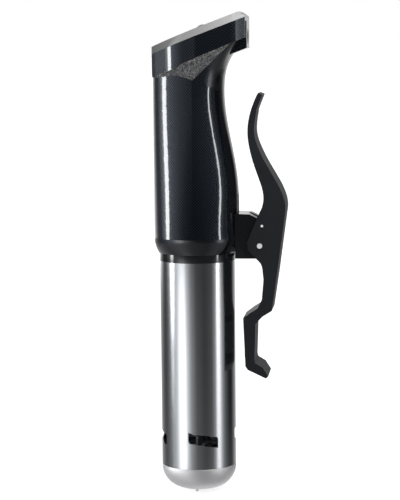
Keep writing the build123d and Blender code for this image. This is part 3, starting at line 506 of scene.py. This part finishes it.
RIM_LEAN = 0.6  # how far the painted reflection's tones lean forward as they go down
RIM_SPREAD = 10.0  # turns metres along the rim into places on the painted reflection's ramp


def rim_steel():
    """Satin steel of the rim, with a painted reflection in its base colour: dark towards the front, lighter at its
    front end and towards the rear.
    """
    material = brushed("rim_steel", (0.5, 0.51, 0.535), 0.5, (2500.0, 2500.0, 2500.0), 0.00003, 0.3)
    nodes, links = material.node_tree.nodes, material.node_tree.links
    spot = split_vector(nodes, links, place(nodes))
    slant = scaled(nodes, links, spot["Z"], -RIM_LEAN, RIM_LEAN * panel_z)
    along = math_node(nodes, links, "ADD", spot["X"], slant)
    share = scaled(nodes, links, along, RIM_SPREAD, 0.5)
    # painted reflection: the rim's base colour runs dark towards the front and lighter at its front end and rear,
    # standing in for what the steel mirrors
    painted_reflection_tones = [(0.195, 0.55), (0.205, 0.07), (0.38, 0.10), (0.43, 0.24), (0.60, 0.33), (0.85, 0.50)]
    links.new(ramp(nodes, links, share, painted_reflection_tones), nodes["Principled BSDF"].inputs["Base Color"])
    return material


def plain(name, colour, metallic=0.0, roughness=0.5):
    """A simple finish with fine grain for the pieces inside."""
    material, nodes, links, shader = new_material(name)
    grain = noise(nodes, links, place(nodes), 900.0, 2.0)
    put(shader, Base_Color=(*colour, 1.0), Metallic=metallic)
    rough = ramp(nodes, links, grain, [(0.3, roughness * 0.9), (0.7, min(1.0, roughness * 1.15))])
    links.new(rough, shader.inputs["Roughness"])
    links.new(bump(nodes, links, grain, 0.1, 0.0001), shader.inputs["Normal"])
    return material


AROUND = (40.0, 40.0, 5000.0)  # grain scales that give lines round the axis
EVEN = (900.0, 900.0, 900.0)
finishes = {
    "gloss_shell": woven_gloss(),
    "gloss_black": gloss_black(),
    "lever_matte": lever_matte(),
    "sleeve_steel": brushed("sleeve_steel", (0.545, 0.565, 0.595), 0.135, AROUND, 0.000006),
    "cap_satin": brushed("cap_satin", (0.86, 0.86, 0.875), 0.42, EVEN, 0.00003),
    "rim_steel": rim_steel(),
    "wheel_metal": plain("wheel_metal", (0.5, 0.5, 0.52), 1.0, 0.25),
    "pin_steel": plain("pin_steel", (0.95, 0.95, 0.95), 0.5, 0.5),
    "screw_steel": plain("screw_steel", (0.5, 0.5, 0.52), 1.0, 0.3),
    "inner_steel": plain("inner_steel", (0.5, 0.48, 0.45), 1.0, 0.35),
    "motor_can": plain("motor_can", (0.4, 0.4, 0.42), 1.0, 0.35),
    "bush_brass": plain("bush_brass", (0.7, 0.5, 0.22), 1.0, 0.3),
    "seal_rubber": plain("seal_rubber", (0.02, 0.02, 0.02), 0.0, 0.75),
    "inner_plastic": plain("inner_plastic", (0.08, 0.08, 0.085), 0.0, 0.5),
    "board": plain("board", (0.02, 0.12, 0.05), 0.0, 0.4),
    "components": plain("components", (0.05, 0.05, 0.06), 0.0, 0.45),
    "panel_glass": plain("panel_glass", (0.006, 0.006, 0.008), 0.0, 0.05),
    "key_print": plain("key_print", (0.75, 0.78, 0.8), 0.0, 0.3),
}
slot_of = {part["node"]: part["material_slot"] for part in frame["record"]["subparts"]}
for name, node in frame["nodes"].items():
    node.data.materials.clear()
    node.data.materials.append(finishes[slot_of[name]])
bodies = frame["record"]["behaviour"]["bodies"]
body_of = {name: body for body, names in bodies.items() for name in names}

# ======== finer pieces ========
WELD = 0.002 * MM  # points nearer than this are one
FLAT_ANGLE = radians(1.5)  # faces that meet at less are one face
SHARP_ANGLE = radians(35)  # edges sharper than this are rounded
WHEEL_RIDGES = 36
RIDGE_DEPTH = 0.35 * MM
AXLE_ROOM = 0.05 * MM


def add_piece(name, mesh, node):
    """A new object in a node's place, with its finish, riding on its body."""
    piece = bpy.data.objects.new(name, mesh)
    bpy.context.scene.collection.objects.link(piece)
    mesh.materials.clear()
    mesh.materials.append(finishes[slot_of[node]])
    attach(piece, body_of[node])
    return piece


def soften(node, width, segments=2):
    """A copy of a CAD piece with rounded edges, which stands for it."""
    mesh = frame["nodes"][node].data.copy()
    cleaned = bmesh.new()
    cleaned.from_mesh(mesh)
    bmesh.ops.remove_doubles(cleaned, verts=cleaned.verts, dist=WELD)
    bmesh.ops.dissolve_limit(cleaned, angle_limit=FLAT_ANGLE, verts=cleaned.verts, edges=cleaned.edges)
    cleaned.to_mesh(mesh)
    cleaned.free()
    piece = add_piece(node + "_finish", mesh, node)
    bevel = piece.modifiers.new("bevel", "BEVEL")
    bevel.width = width
    bevel.segments = segments
    bevel.limit_method = "ANGLE"
    bevel.angle_limit = SHARP_ANGLE
    bevel.use_clamp_overlap = True
    mesh.shade_smooth()
    weighted = piece.modifiers.new("weighted", "WEIGHTED_NORMAL")
    weighted.keep_sharp = False
    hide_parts(node)


def knurled_wheel():
    """The thumbwheel with ridges round its edge and a dished face on each side."""
    wheel_low, wheel_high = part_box("thumbwheel")
    middle = (wheel_low + wheel_high) / 2
    radius = (wheel_high.z - wheel_low.z) / 2
    half = (wheel_high.y - wheel_low.y) / 2
    axle_low, axle_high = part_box("wheel_axle")
    bore = (axle_high.z - axle_low.z) / 2 + AXLE_ROOM
    mesh = bpy.data.meshes.new("thumbwheel_knurled")
    shaped = bmesh.new()
    around = WHEEL_RIDGES * 4
    profile = [
        (bore, -half * 0.8),
        (radius * 0.55, -half * 0.7),
        (radius * 0.72, -half),
        (radius * 0.9, -half),
        (radius, -half * 0.72),
    ]
    profile += [(reach, -y) for reach, y in reversed(profile)]
    rings = []
    for reach, y in profile:
        ring = []
        for i in range(around):
            groove = reach > radius * 0.95 and i % 4 > 1
            out = reach - (RIDGE_DEPTH if groove else 0.0)
            angle = 2 * pi * i / around
            corner = (middle.x + out * cos(angle), middle.y + y, middle.z + out * sin(angle))
            ring.append(shaped.verts.new(corner))
        rings.append(ring)
    for first, second in zip(rings, rings[1:] + rings[:1]):
        for i in range(around):
            k = (i + 1) % around
            shaped.faces.new((first[i], first[k], second[k], second[i]))
    bmesh.ops.recalc_face_normals(shaped, faces=shaped.faces)
    shaped.to_mesh(mesh)
    shaped.free()
    piece = add_piece("thumbwheel_knurled", mesh, "thumbwheel")
    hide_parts("thumbwheel")


soften("clamp_lever", 1.1 * MM, 3)
soften("clamp_bracket", 0.5 * MM)
soften("panel_rim", 0.25 * MM)
soften("collar_ring", 0.1 * MM)
knurled_wheel()
